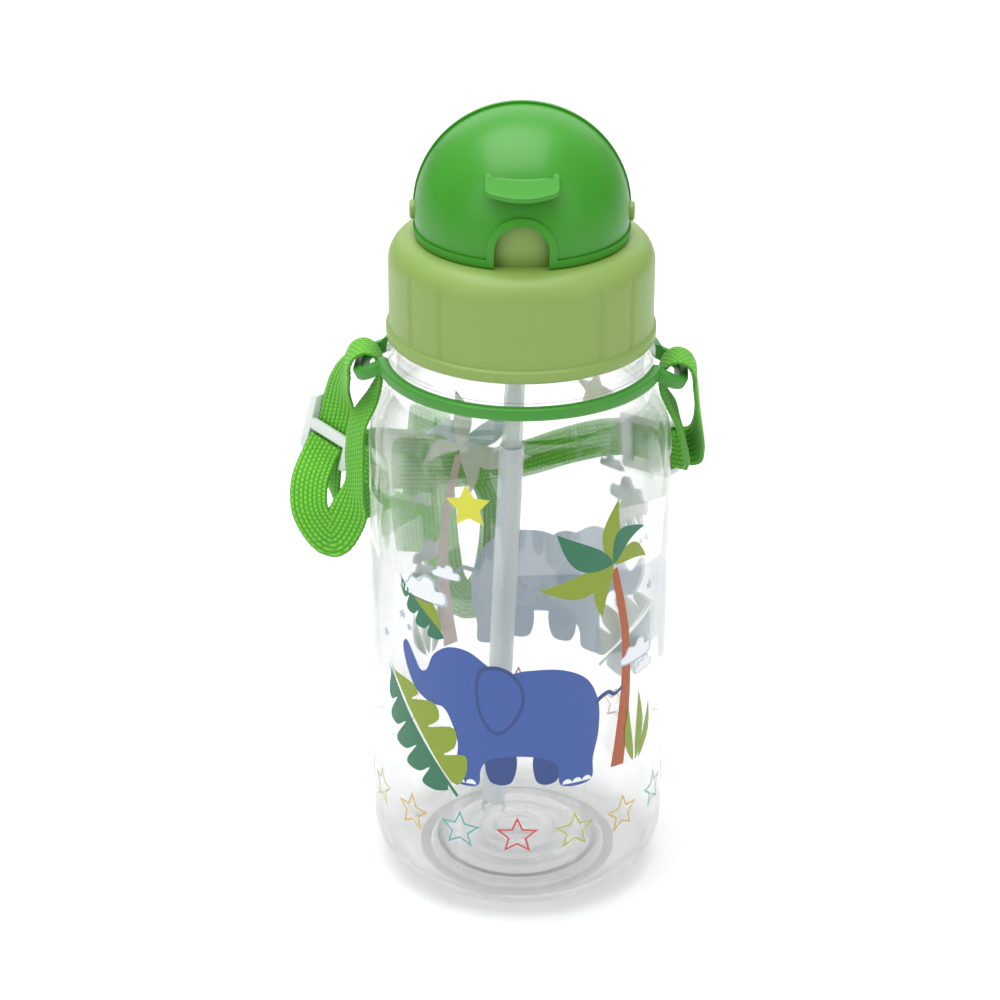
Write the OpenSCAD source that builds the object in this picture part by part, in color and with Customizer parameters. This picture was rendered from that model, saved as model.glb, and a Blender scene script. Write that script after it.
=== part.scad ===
// Children's drinking bottle: clear body, screw cap, flip-up dome cover over a soft spout,
// drinking straw, and a carrier ring with a webbing strap.
// Millimetres. +Z is up, -Y is the front, and the origin is the centre of the base.

/* [Bottle] */
// Outside diameter of the body
body_d = 72; // [60:0.5:88]
// Height where the straight wall ends and the shoulder begins
body_h = 113; // [94:1:136]
// Wall of the clear body
wall = 1.6; // [1.2:0.1:2]
// Radius of the round corner at the base
base_round = 11.5; // [9:0.5:14]
// Radius of the round shoulder
shoulder_round = 20; // [16:0.5:24]
// How much smaller the neck's radius is than the body's
neck_step = 5.4; // [4:0.1:7]
// Height of the plain neck between the shoulder and the cap
neck_h = 13.3; // [12:0.1:16]

/* [Screw thread] */
// Rise of the thread in one turn
pitch = 5; // [4.4:0.1:6]
// Height of the threaded mouth above the plain neck
mouth_h = 20.6; // [19:0.1:24]
// Depth of the thread
thread_h = 1.2; // [1:0.05:1.4]
// Turns of thread on the mouth and in the cap
thread_turns = 1.3; // [1:0.1:1.5]

/* [Cap] */
// Wall of the cap's skirt
skirt_wall = 1.65; // [1.5:0.05:2.2]
// Thickness of the cap's top
deck_t = 2.3; // [2:0.1:3]
// Radius of the cap's round top edge
cap_round = 6.2; // [5:0.1:6.6]
// Thickness of the sealing ring
gasket_t = 2.1; // [1.8:0.1:2.6]

/* [Dome cover] */
// How much smaller the dome's radius is than the cap's
dome_step = 5.6; // [5.4:0.1:7]
// Wall of the dome
dome_wall = 1.4; // [1.2:0.1:1.8]
// Height of the dome's centre and its pins above the cap's top
dome_rise = 5.5; // [5.3:0.1:7]
// Diameter of the pins that the cover turns on
pin_d = 4.5; // [3.5:0.1:5.4]
// Width of the arched opening in the front
arch_w = 12.3; // [10:0.1:14]
// Width of the finger tab
tab_w = 16.7; // [13:0.1:20]

/* [Spout and straw] */
// Height of the soft spout above the cap's top
spout_h = 26; // [21.6:0.2:27]
// Outside diameter of the straw
straw_d = 5.9; // [5.5:0.1:6.5]
// Wall of the straw
straw_wall = 0.5; // [0.4:0.05:0.6]
// Height of the straw's lower end above the base
straw_foot = 9; // [8:0.5:20]
// Angle at which the straw leans
straw_lean = 2.3; // [0:0.1:3]

/* [Carrier ring] */
// Height of the ring
ring_h = 3; // [2.6:0.1:3.4]
// Width of the ring's rod, measured outwards
ring_w = 2.6; // [2.2:0.1:2.8]
// Gap between the ring and the neck
ring_gap = 0.5; // [0.4:0.05:0.8]
// Length of the opening in each ear, for the webbing's width
slot_l = 11.6; // [11:0.1:13]
// Angle at which the ears slope down
ear_drop = 26; // [16:1:28]
// How far the ring is turned on the neck
ring_turn = -3; // [-5:1:0]

/* [Strap] */
// Width of the webbing
strap_w = 10; // [8.4:0.1:10.2]
// Thickness of the webbing
strap_t = 1.3; // [1:0.05:1.4]

/* [Hidden] */

fine = 96;                      // sides of the large turned shapes
body_r = body_d / 2;
neck_r = body_r - neck_step;
shoulder_top = body_h
    + sqrt(pow(shoulder_round, 2) - pow(shoulder_round - neck_step, 2));
neck_top = shoulder_top + neck_h;
bead = 0.9;                     // how far the neck's beads stand out
bead_h = 1.1;
ring_play = 0.4;                // gap above and below the ring
ring_z = neck_top - 4.6 - ring_h;
mouth_r = neck_r - 3;           // outside of the threaded mouth
mouth_wall = 1.7;
rim_z = neck_top + mouth_h;
floor_t = 2;                    // thickness of the bottle's floor
foot_w = 3;                     // flat ring that the bottle stands on
push_r = 17;                    // steps of the raised floor, from outside in
push_z = 2.9;
dimple_r = 9;
dimple_z = 4.1;

thread_gap = 0.4;               // between the crest of one thread and the other's root
ridge_base = 1.9;
ridge_crest = 0.7;
thread_z = neck_top + 6.6;      // middle of the thread's lower end on the mouth
thread_fade = 40;               // degrees over which a thread's end runs out

skirt_in = mouth_r + thread_h + thread_gap;
cap_r = skirt_in + skirt_wall;
flange = 0.65;
flange_h = 2.6;
cap_z = neck_top + 0.5;
deck_low = rim_z + gasket_t;
cap_top = deck_low + deck_t;
flute_r = 1.5;
flute_d = 0.45;

dome_r = cap_r - dome_step;     // outside of the dome's rim
rim_proud = 0.55;
rim_w = 1.9;
dome_out = dome_r - rim_proud;
dome_in = dome_out - dome_wall;
dome_z = cap_top + dome_rise;
dome_gap = 0.3;                 // between the dome and the cap's top
dome_back = 4.5;                // how far the cover reaches behind its pins
arch_top = 10.6;                // height of the arch above the cap's top
pin_fit = 0.05;
tab_angle = 32;
tab_tilt = 16;
tab_reach = 5.8;
tab_t = 1.4;

house_r = dome_in - 0.7;
house_wall = 1.5;
house_top = 12;                 // height of the housing above the cap's top
foot_d = 1;                     // depth of the groove that the housing stands in
foot_fit = 0.05;
foot_out = sqrt(pow(house_r, 2) - pow(dome_rise, 2));

stem_r = 6;                     // hole in the cap's top for the straw socket
stem_fit = 0.05;
spout_r = 5.6;
spout_bore = 2.6;
collar_r = 8.4;
spigot_r = straw_d / 2 - straw_wall - 0.03;
spigot_end = cap_top - 60;
straw_top = cap_top - 54;
vent_y = 13;
vent_r = 1.6;

ring_in = neck_r + ring_gap;
ring_out = ring_in + ring_w;
ear_len = 8.6;                  // reach of an ear, from the inside of the ring
ear_wall = 2.4;

adj_len = 15;                   // size of a strap adjuster along and across the webbing
adj_rail = 1.9;
adj_t = 2.6;
adj_fit = 0.35;                 // gap between the webbing and an adjuster
adj_bar = 2.8;

// Points on an arc, from angle a0 to a1
function arc(cx, cy, r, a0, a1, n) =
    [for (i = [0:n]) let (a = a0 + (a1 - a0) * i / n) [cx + r * cos(a), cy + r * sin(a)]];

// Outline of the bottle at distance t inside its outer surface; the floor is floor_t * t / wall up
function base_line(t) = let (f = t / wall * floor_t) concat(
    [[0, dimple_z + f], [dimple_r - t / 4, dimple_z + f],
        [dimple_r + 0.8 - t / 4, dimple_z - 0.8 + f], [push_r, push_z + f],
        [body_r - base_round - foot_w, t]],
    arc(body_r - base_round, base_round, base_round - t, -90, 0, 10));
function back(list) = [for (i = [len(list) - 1:-1:0]) list[i]];
function shoulder_line(t) = let (q = acos((shoulder_round - neck_step) / shoulder_round))
    arc(body_r - shoulder_round, body_h, shoulder_round - t, 0, q, 8);

// A ridge that winds upwards. s is 1 for one that stands outwards, and -1 for inwards.
module helix_ridge(r, s, z0, turns) {
    n = ceil(turns * 30);
    grow = function (i) max(0.08, min(1, i / n * turns * 360 / thread_fade,
        (n - i) / n * turns * 360 / thread_fade));
    pts = [for (i = [0:n]) let (a = i / n * turns * 360, z = z0 + pitch * a / 360, g = grow(i),
            lo = r - s * 0.25, hi = r + s * thread_h * g)
        for (q = [[lo, -ridge_base / 2], [hi, -ridge_crest / 2], [hi, ridge_crest / 2],
                [lo, ridge_base / 2]])
            [q[0] * cos(a), q[0] * sin(a), z + q[1]]];
    side = [for (i = [0:n - 1]) for (j = [0:3]) let (k = (j + 1) % 4)
        s > 0 ? [4 * i + j, 4 * i + k, 4 * i + 4 + k, 4 * i + 4 + j]
              : [4 * i + 4 + j, 4 * i + 4 + k, 4 * i + k, 4 * i + j]];
    ends = s > 0 ? [[3, 2, 1, 0], [for (j = [0:3]) 4 * n + j]]
                 : [[0, 1, 2, 3], [for (j = [3:-1:0]) 4 * n + j]];
    polyhedron(pts, concat(side, ends), convexity = 6);
}

module bottle() {
    bead_low = ring_z - ring_play - bead_h;
    bead_up = ring_z + ring_h + ring_play;
    color([0.90, 0.93, 0.95, 0.4]) {
        rotate_extrude($fn = fine) polygon(concat(
            base_line(0), shoulder_line(0),
            [[neck_r, bead_low - 0.3], [neck_r + bead, bead_low], [neck_r + bead, bead_low + bead_h],
                [neck_r, bead_low + bead_h], [neck_r, bead_up], [neck_r + bead, bead_up],
                [neck_r + bead, bead_up + bead_h - 0.3], [neck_r, bead_up + bead_h],
                [neck_r, neck_top - 0.5], [neck_r - 0.5, neck_top], [mouth_r, neck_top],
                [mouth_r, rim_z - 0.5], [mouth_r - 0.5, rim_z], [mouth_r - mouth_wall, rim_z],
                [mouth_r - mouth_wall, neck_top], [neck_r - wall, neck_top - 2.4]],
            back(shoulder_line(wall)), back(base_line(wall))));
        helix_ridge(mouth_r, 1, thread_z, thread_turns);
    }
}

module screw_cap() {
    color([0.66, 0.80, 0.45]) {
        difference() {
            rotate_extrude($fn = fine) polygon(concat(
                [[skirt_in, cap_z]],
                arc(cap_r + flange - 0.8, cap_z + 0.8, 0.8, -90, 0, 4),
                [[cap_r + flange, cap_z + flange_h], [cap_r, cap_z + flange_h + 0.5]],
                arc(cap_r - cap_round, cap_top - cap_round, cap_round, 0, 90, 8),
                [[foot_out + foot_fit, cap_top], [foot_out + foot_fit, cap_top - foot_d],
                    [foot_out - house_wall - foot_fit, cap_top - foot_d],
                    [foot_out - house_wall - foot_fit, cap_top],
                    [stem_r, cap_top], [stem_r, deck_low], [skirt_in - 0.6, deck_low],
                    [skirt_in, deck_low - 0.6]]));
            // grip flutes, in four groups of two
            for (a = [45:90:315], b = [-9, 9]) rotate(a + b)
                translate([cap_r - flute_d + flute_r, 0, cap_z + flange_h + 1.2])
                    cylinder(r = flute_r, h = cap_top - cap_round - cap_z - flange_h + 2, $fn = 24);
            translate([0, vent_y, deck_low - 1]) cylinder(r = vent_r, h = deck_t + 2, $fn = 32);
        }
        helix_ridge(skirt_in, -1, thread_z + pitch / 2, thread_turns);
    }
}

module cap_gasket() {
    color([0.93, 0.94, 0.92]) rotate_extrude($fn = fine)
        polygon([[mouth_r - mouth_wall - 0.6, rim_z + 0.4], [mouth_r - mouth_wall - 0.2, rim_z],
            [mouth_r + 0.3, rim_z], [mouth_r + 0.7, rim_z + 0.4], [mouth_r + 0.7, deck_low],
            [mouth_r - mouth_wall - 0.6, deck_low]]);
}

// Low round wall that the cover closes over, with the two pins that it turns on
module spout_housing() {
    lip = sqrt(pow(house_r, 2) - pow(house_top - dome_rise, 2));
    lean = asin(dome_rise / house_r);
    rise = asin((house_top - dome_rise) / house_r);
    dish = cap_top + 7.5;
    color([0.66, 0.80, 0.45]) {
        rotate_extrude($fn = fine) polygon(concat(
            [[foot_out - house_wall, cap_top - foot_d], [foot_out, cap_top - foot_d]],
            arc(0, dome_z, house_r, -lean, rise, 8),
            [[lip - 1, cap_top + house_top + 0.5], [lip - 2, cap_top + house_top],
                [collar_r + 1, dish + 0.8], [spout_r + 1.2, dish], [spout_r + 1.2, dish - 1.5],
                [collar_r + 1, dish - 0.8]],
            arc(0, dome_z, house_r - house_wall, rise - 8, -lean, 8)));
        for (s = [-1, 1]) translate([s * (house_r - 1), 0, dome_z]) rotate([0, s * 90, 0])
            cylinder(d = pin_d, h = dome_r + 0.5 - house_r + 1, $fn = 48);
    }
}

// Flat outline of the arched opening, g larger all round
module arch(g) {
    square([arch_w + 2 * g, 2 * (arch_top - arch_w / 2)], center = true);
    translate([0, arch_top - arch_w / 2]) circle(d = arch_w + 2 * g, $fn = 64);
}

module arch_prism(g) {
    translate([0, 0, cap_top]) rotate([90, 0, 0]) linear_extrude(dome_r + 2) arch(g);
}

module tab() {
    w = tab_w / 2;
    deep = dome_out * (1 - cos(20)) + 2;
    rotate([tab_tilt, 0, 0]) translate([0, 0, -tab_t / 2]) linear_extrude(tab_t)
        polygon(concat([[w, deep], [-w, deep]], arc(-w + 2.6, -tab_reach + 4.2, 2.6, 180, 250, 5),
            arc(0, 12.5 - tab_reach, 12.5, 255, 285, 6),
            arc(w - 2.6, -tab_reach + 4.2, 2.6, 290, 360, 5)));
}

module flip_cover() {
    low = cap_top + dome_gap;
    color([0.32, 0.66, 0.24]) difference() {
        union() {
            translate([0, 0, dome_z]) sphere(r = dome_out, $fn = fine);
            // raised rims along the lower edge, round the arch and over the top
            intersection() {
                translate([0, 0, dome_z]) sphere(r = dome_r, $fn = fine);
                union() {
                    translate([-30, -30, low]) cube([60, 60, rim_w]);
                    translate([-30, dome_back - rim_w, low]) cube([60, rim_w, 60]);
                    arch_prism(1.7);
                }
            }
            translate([0, -dome_out * cos(tab_angle), dome_z + dome_out * sin(tab_angle)]) tab();
        }
        translate([0, 0, dome_z]) sphere(r = dome_in, $fn = fine);
        translate([-40, -40, low - 60]) cube([80, 80, 60]);
        translate([-40, dome_back, low - 1]) cube([80, 80, 80]);
        // the lower back corner is round, so that it clears the cap as the cover turns
        difference() {
            translate([-40, 0, low - 1]) cube([80, 10, dome_rise - dome_gap + 1]);
            translate([-41, 0, dome_z]) rotate([0, 90, 0])
                cylinder(r = dome_rise - dome_gap, h = 82, $fn = 64);
        }
        arch_prism(0);
        translate([-40, 0, dome_z]) rotate([0, 90, 0])
            cylinder(d = pin_d + 2 * pin_fit, h = 80, $fn = 48);
    }
}

module spout() {
    z = cap_top;
    color([0.93, 0.95, 0.92]) rotate_extrude($fn = 64) polygon([
        [spout_bore, z + 0.6], [collar_r, z + 0.6], [collar_r, z + 2.6], [spout_r + 0.6, z + 3.4],
        [spout_r + 0.6, z + 6], [spout_r, z + 9], [spout_r - 0.9, z + spout_h - 5],
        [spout_r - 0.3, z + spout_h - 3], [spout_r - 0.3, z + spout_h - 1.2],
        [spout_r - 1.4, z + spout_h], [spout_bore - 0.6, z + spout_h],
        [spout_bore - 0.6, z + spout_h - 1.5], [spout_bore, z + spout_h - 3]]);
}

// Everything below the cap's top leans with the straw
module leaning() {
    translate([0, 0, deck_low - 2]) rotate([0, straw_lean, 0]) translate([0, 0, 2 - deck_low])
        children();
}

module straw_socket() {
    color([0.86, 0.90, 0.88]) difference() {
        union() {
            translate([0, 0, deck_low - 1.6]) cylinder(r = collar_r, h = 1.6, $fn = 64);
            translate([0, 0, deck_low - 1]) cylinder(r = stem_r - stem_fit, h = deck_t + 1.6, $fn = 64);
            leaning() translate([0, 0, spigot_end])
                cylinder(r = spigot_r, h = deck_low - spigot_end - 0.4, $fn = 48);
        }
        translate([0, 0, deck_low - 3]) cylinder(r = spigot_r - 0.8, h = deck_t + 6, $fn = 32);
        leaning() translate([0, 0, spigot_end - 1])
            cylinder(r = spigot_r - 0.8, h = deck_low - spigot_end + 1.5, $fn = 32);
    }
}

module straw() {
    color([0.88, 0.91, 0.92]) leaning() translate([0, 0, straw_foot]) difference() {
        cylinder(d = straw_d, h = straw_top - straw_foot, $fn = 48);
        translate([0, 0, -1])
            cylinder(r = straw_d / 2 - straw_wall, h = straw_top - straw_foot + 2, $fn = 48);
        // slanted foot, so that it can't seal against the floor
        translate([-5, -straw_d / 2 - 1, -1.5]) rotate([35, 0, 0]) cube([10, 8, 3]);
    }
}

module vent_valve() {
    color([0.93, 0.94, 0.92]) translate([0, vent_y, 0]) rotate_extrude($fn = 32) polygon([
        [0, deck_low - 1.6], [1.2, deck_low - 1.6], [2.3, deck_low - 0.6], [2.3, deck_low],
        [vent_r - 0.05, deck_low], [vent_r - 0.05, cap_top], [3, cap_top], [2.6, cap_top + 0.8],
        [0, cap_top + 0.8]]);
}

// The strap passes between the neck and the ear's outer bar, so the ring is open there
module ear(cut) {
    half = slot_l / 2;
    translate([ring_in, 0, ring_z + ring_h / 2]) rotate([0, ear_drop, 0])
        if (cut) translate([-6, -half, -4]) cube([ear_len + 6 - ear_wall, slot_l, 8]);
        else translate([0, 0, -ring_h / 2]) linear_extrude(ring_h) polygon(concat(
            [[0, -half - ear_wall + 0.4], [0, half + ear_wall - 0.4]],
            arc(ear_len - 5, half + ear_wall - 5, 5, 90, 0, 8),
            arc(ear_len - 5, 5 - half - ear_wall, 5, 0, -90, 8)));
}

module carrier_ring() {
    soft = 0.8;                 // blunted edge of the rod
    color([0.34, 0.72, 0.32]) rotate(ring_turn) difference() {
        union() {
            rotate_extrude($fn = fine) translate([ring_in, ring_z]) polygon([[0, soft], [soft, 0],
                [ring_w - soft, 0], [ring_w, soft], [ring_w, ring_h - soft],
                [ring_w - soft, ring_h], [soft, ring_h], [0, ring_h - soft]]);
            for (a = [0, 180]) rotate(a) ear(false);
        }
        for (a = [0, 180]) rotate(a) ear(true);
        translate([0, 0, ring_z - 9]) cylinder(r = ring_in, h = 30, $fn = fine);
    }
}

// Where each strap adjuster sits: its centre, the way the webbing runs and the way its width lies
adjuster_r = [[32, 23.6, 101], [-0.72, 0.69, -0.1], [-0.07, 0.07, 0.99]];
adjuster_l = [[-45.3, 10, 109.8], [-0.22, 0.1, -0.97], [-0.78, 0.58, 0.24]];

// The webbing's route: each row is a point on its middle line, and the way its width lies.
// It starts sewn to the right adjuster's bar, goes round the right ear, through that adjuster,
// behind the body, and ends sewn to the left adjuster's bar.
route = [
    [34.83, 23.28, 101.2, -0.07, 0.07, 0.99], [39.8, 19.7, 101.9, -0.07, 0.07, 0.99],
    [42.5, 16.8, 103.6, -0.25, 0.45, 0.85], [43.2, 11.2, 109, -0.22, 0.71, 0.67],
    [42.7, 5.2, 116.2, -0.12, 0.81, 0.58], [41.7, 0.6, 123.5, 0, 0.92, 0.38],
    [40.9, -1.5, 129, 0.03, 1, 0.05], [40.7, -2, 131.6, 0.05, 1, 0], [39.4, -2, 134.2, 0.05, 1, 0],
    [37, -1.95, 135.4, 0.05, 1, 0], [34.6, -1.8, 134.6, 0.05, 1, 0], [33, -1.7, 131.8, 0.05, 1, 0],
    [33, -1.7, 128.2, 0.05, 1, 0], [34.4, -1.3, 124.4, 0, 0.99, 0.1],
    [36.8, 0.9, 119.2, -0.05, 0.92, 0.35], [38.4, 5.2, 112.8, -0.15, 0.8, 0.55],
    [39.9, 11.2, 106.2, -0.18, 0.6, 0.75], [39.55, 16.3, 102.2, -0.07, 0.07, 0.99],
    [37.2, 18.6, 101.7, -0.07, 0.07, 0.99], [32, 23.6, 101, -0.07, 0.07, 0.99],
    [26.6, 28.7, 100.1, -0.07, 0.07, 0.99], [20, 33.4, 97.5, -0.1, 0.05, 1],
    [11, 37.8, 93, -0.1, 0, 1], [2, 39.5, 89, -0.1, 0, 1], [-8, 39.5, 86.5, 0, 0, 1],
    [-18, 37, 86.5, 0, 0, 1],
    [-27, 31.5, 89, 0, 0, 1], [-33, 27.5, 91, 0, 0, 1], [-38, 27, 92.5, 0, 0, 1],
    [-40.5, 31, 93.5, 0, 0, 1], [-38, 36, 93.5, 0, 0, 1], [-31, 40, 91.5, 0, 0, 1],
    [-22, 43, 89.5, 0, 0, 1], [-13, 44, 86, 0.35, 0, 0.94], [-7.2, 44, 79, 0.75, 0, 0.65],
    [-5.5, 44, 70, 1, 0, 0.1], [-6, 44, 60, 1, 0, 0], [-8.5, 44, 50, 0.95, 0, -0.3],
    [-13.5, 44, 44.5, 0.1, 0, -1], [-18.5, 44, 50, -0.9, 0, -0.35], [-20.5, 44.3, 60, -1, 0, 0],
    [-21.5, 46, 71, -1, 0, 0], [-22.5, 48.5, 84, -1, 0, 0], [-23, 50, 94, -1, 0, 0],
    [-23.5, 52.3, 97.5, -1, 0, 0], [-24, 54.6, 94, -1, 0, 0], [-25, 55.5, 84, -1, 0, 0],
    [-26, 55, 70, -1, 0, 0], [-27, 53.8, 60, -1, 0.1, 0], [-27.5, 51.3, 56, -1, 0.1, 0],
    [-28, 50, 60, -1, 0.1, 0], [-29.5, 50.4, 70, -1, 0.15, 0], [-34, 45.5, 76.5, -0.7, 0.35, 0.6],
    [-38.5, 37, 78.5, -0.2, 0.2, 0.95], [-42, 28, 79.5, 0, 0, 1], [-44, 19, 84, 0, 0.35, 0.93],
    [-46.2, 12.8, 93, -0.45, 0.7, 0.5], [-46.95, 10.75, 102.5, -0.78, 0.58, 0.24],
    [-45.3, 10, 109.8, -0.78, 0.58, 0.24], [-43.65, 9.25, 117.1, -0.78, 0.58, 0.24],
    [-42.6, 6.2, 123.6, -0.5, 0.85, 0.1], [-41.1, 2.8, 129, -0.2, 0.98, 0],
    [-40.7, 2.3, 131.6, -0.1, 1, 0], [-39.4, 2.1, 134.2, -0.1, 1, 0], [-37, 1.95, 135.4, -0.1, 1, 0],
    [-34.6, 1.8, 134.6, -0.1, 1, 0], [-33, 1.7, 131.8, -0.05, 1, 0], [-33, 1.6, 128.2, -0.05, 1, 0],
    [-34.8, 1, 123.4, -0.2, 0.97, 0], [-38.4, -1.3, 117.2, -0.4, 0.92, 0],
    [-39.3, -2.3, 109, -0.5, 0.87, 0], [-39.5, -2.4, 100, -0.52, 0.85, 0],
    [-41.4, -2, 92.7, -0.8, 0.3, 0.45], [-45.3, -1.4, 86.6, 0.1, 0.15, 0.98],
    [-50.3, 0.4, 92.2, 0.85, -0.2, 0.45], [-50.8, 3.5, 98.7, 0.93, -0.35, 0.05],
    [-48.8, 7.6, 103.9, 0.78, -0.58, -0.24], [-46.8, 8.8, 107.7, 0.78, -0.58, -0.24]];

function unit(v) = v / norm(v);
function part3(v, i) = [v[i], v[i + 1], v[i + 2]];
// Points of the route's cross-section at row i: its width direction is squared to the route
function section(i) = let (
        p = part3(route[i], 0), n = len(route) - 1,
        d = unit(part3(route[min(i + 1, n)], 0) - part3(route[max(i - 1, 0)], 0)),
        v = part3(route[i], 3), w = unit(v - (v * d) * d), h = cross(d, w))
    [for (q = [[-1, -1], [1, -1], [1, 1], [-1, 1]])
        p + q[0] * strap_w / 2 * w + q[1] * strap_t / 2 * h];

module strap() {
    n = len(route) - 1;
    side = [for (i = [0:n - 1]) for (j = [0:3]) let (k = (j + 1) % 4)
        for (f = [[4 * i + j, 4 * i + 4 + k, 4 * i + k], [4 * i + j, 4 * i + 4 + j, 4 * i + 4 + k]])
            f];
    color([0.30, 0.70, 0.20])
        polyhedron([for (i = [0:n]) each section(i)],
            concat(side, [[0, 1, 2], [0, 2, 3], [4 * n + 2, 4 * n + 1, 4 * n],
                [4 * n + 3, 4 * n + 2, 4 * n]]), convexity = 10);
}

// Three-bar adjuster: the webbing passes over its end bars and under its middle bar
module adjuster(place, flip) {
    d = unit(place[1]);
    w = unit(place[2] - (place[2] * d) * d);
    h = cross(d, w);
    o = place[0];
    rail_y = strap_w / 2 + adj_fit;
    bar_z = strap_t / 2 + adj_fit;
    bar_t = 1.1;
    color([0.90, 0.93, 0.92])
        multmatrix([[d[0], w[0], h[0], o[0]], [d[1], w[1], h[1], o[1]], [d[2], w[2], h[2], o[2]]]) {
            for (s = [-1, 1]) translate([-adj_len / 2, s > 0 ? rail_y : -rail_y - adj_rail, 0])
                translate([0, 0, -bar_z - bar_t]) cube([adj_len, adj_rail, 2 * (bar_z + bar_t)]);
            translate([-adj_bar / 2, -rail_y - 0.5, flip > 0 ? bar_z : -bar_z - bar_t])
                cube([adj_bar, 2 * rail_y + 1, bar_t]);
            for (s = [-1, 1]) translate([s * (adj_len - adj_bar) / 2 - adj_bar / 2, -rail_y - 0.5,
                    flip > 0 ? -bar_z - bar_t : bar_z]) cube([adj_bar, 2 * rail_y + 1, bar_t]);
        }
}

module adjuster_left() adjuster(adjuster_l, -1);
module adjuster_right() adjuster(adjuster_r, 1);

bottle();
screw_cap();
cap_gasket();
spout_housing();
flip_cover();
spout();
straw_socket();
straw();
vent_valve();
carrier_ring();
strap();
adjuster_left();
adjuster_right();
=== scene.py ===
# %% [markdown]
# # A child's clear drinking bottle
# A clear printed body, a lime screw cap, a green dome cover over a soft spout, and a woven
# strap on a swivelling ring. The frame below is the engineering model: it fixes where every
# piece goes. Here each piece is made again with the detail that an eye would look for.

# %% Load the frame
import bpy, bmesh, math
import numpy as np
from mathutils import Matrix, Vector
from mathutils.geometry import tessellate_polygon


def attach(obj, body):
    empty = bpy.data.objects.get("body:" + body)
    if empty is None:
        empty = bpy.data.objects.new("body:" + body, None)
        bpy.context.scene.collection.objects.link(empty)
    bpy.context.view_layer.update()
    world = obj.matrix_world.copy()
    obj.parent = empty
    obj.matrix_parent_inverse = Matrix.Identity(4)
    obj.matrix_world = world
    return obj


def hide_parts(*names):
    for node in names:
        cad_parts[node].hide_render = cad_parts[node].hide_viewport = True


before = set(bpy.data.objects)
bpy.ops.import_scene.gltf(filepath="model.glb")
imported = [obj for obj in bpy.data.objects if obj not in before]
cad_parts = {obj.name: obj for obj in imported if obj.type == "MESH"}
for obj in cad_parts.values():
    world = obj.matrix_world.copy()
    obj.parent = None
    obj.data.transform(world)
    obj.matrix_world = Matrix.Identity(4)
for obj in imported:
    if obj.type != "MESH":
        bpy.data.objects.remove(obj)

scene = bpy.context.scene
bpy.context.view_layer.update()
MM = 0.001


# %% [markdown]
# ## The camera
# It stands in front of the bottle and looks a little down on it. A long lens keeps the sides
# of the bottle nearly parallel.

# %% Camera
CAMERA_BACK, CAMERA_UP, CAMERA_DOWN = 0.5695, 0.3783, 0.4263
CAMERA_ROLL = math.radians(0.45)
cam = bpy.data.cameras.new("camera")
LENS, SHIFT_X, SHIFT_Y = 95.1, -0.0205, -0.088
cam.sensor_width, cam.lens, cam.shift_x, cam.shift_y = 36, LENS, SHIFT_X, SHIFT_Y
camera = bpy.data.objects.new("camera", cam)
scene.collection.objects.link(camera)
scene.camera = camera
camera.matrix_world = (Matrix.Translation((0, -CAMERA_BACK, CAMERA_UP))
                       @ Matrix.Rotation(math.pi / 2 - CAMERA_DOWN, 4, "X")
                       @ Matrix.Rotation(CAMERA_ROLL, 4, "Z"))
print("camera", [round(v, 3) for v in camera.location])


# %% [markdown]
# ## Finishes as sums
# A procedural finish is arithmetic on patterns. Adding Math nodes by hand is slow to read, so
# this small class wraps a socket and lets Python's own operators add the nodes. Colours are
# mixed with a Mix node instead, because a Math node would turn them grey.

# %% Shader helpers
class Value:
    """A socket that adds Math nodes when it is used in a sum."""

    def __init__(self, finish, socket):
        self.finish, self.socket = finish, socket

    def math(self, operation, *others):
        return self.finish.node("Math", {"operation": operation}, (self,) + others)

    def __add__(self, other):
        return self.math("ADD", other)

    def __mul__(self, other):
        return self.math("MULTIPLY", other)

    def __rsub__(self, other):
        return self.finish.node("Math", {"operation": "SUBTRACT"}, (other, self))

    def __pow__(self, other):
        return self.math("POWER", other)


class Finish:
    """One material: a Principled shader whose constants are set on its own sockets."""

    def __init__(self, name, **constants):
        self.material = bpy.data.materials.new(name)
        self.material.use_nodes = True
        self.tree = self.material.node_tree
        self.shader = self.tree.nodes["Principled BSDF"]
        for key, value in constants.items():
            self.shader.inputs[key.replace("_", " ")].default_value = value

    def node(self, kind, settings=None, inputs=(), output=0):
        made = self.tree.nodes.new("ShaderNode" + kind)
        for key, value in (settings or {}).items():
            setattr(made, key, value)
        pairs = inputs.items() if isinstance(inputs, dict) else enumerate(inputs)
        for key, value in pairs:
            self.feed(made.inputs[key], value)
        return Value(self, made.outputs[output])

    def feed(self, socket, value):
        if isinstance(value, Value):
            self.tree.links.new(value.socket, socket)
        else:
            socket.default_value = value

    def set(self, name, value):
        self.feed(self.shader.inputs[name], value)

    def place(self, kind="Object"):
        return self.node("TexCoord", output=kind)

    def noise(self, scale, detail=2.0):
        return self.node("TexNoise", None, {"Vector": self.place(), "Scale": scale,
                                            "Detail": detail}, "Fac")

    def mix(self, factor, one, two):
        return self.node("Mix", {"data_type": "RGBA"}, {0: factor, 6: one, 7: two}, 2)

    def bump(self, height, distance, strength=1.0):
        self.set("Normal", self.node("Bump", None, {"Height": height, "Distance": distance,
                                                    "Strength": strength}))

    def swing(self, low, high, pattern):
        return self.node("MapRange", None, {"Value": pattern, "From Min": 0.3, "From Max": 0.7,
                                            "To Min": low, "To Max": high})


def paint(red, green, blue, alpha=1.0):
    """A screen colour from 0 to 255 as the linear colour that a shader works in."""
    def linear(c):
        c /= 255
        return c / 12.92 if c <= 0.04045 else ((c + 0.055) / 1.055) ** 2.4
    return (linear(red), linear(green), linear(blue), alpha)


print("helpers ready")
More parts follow.
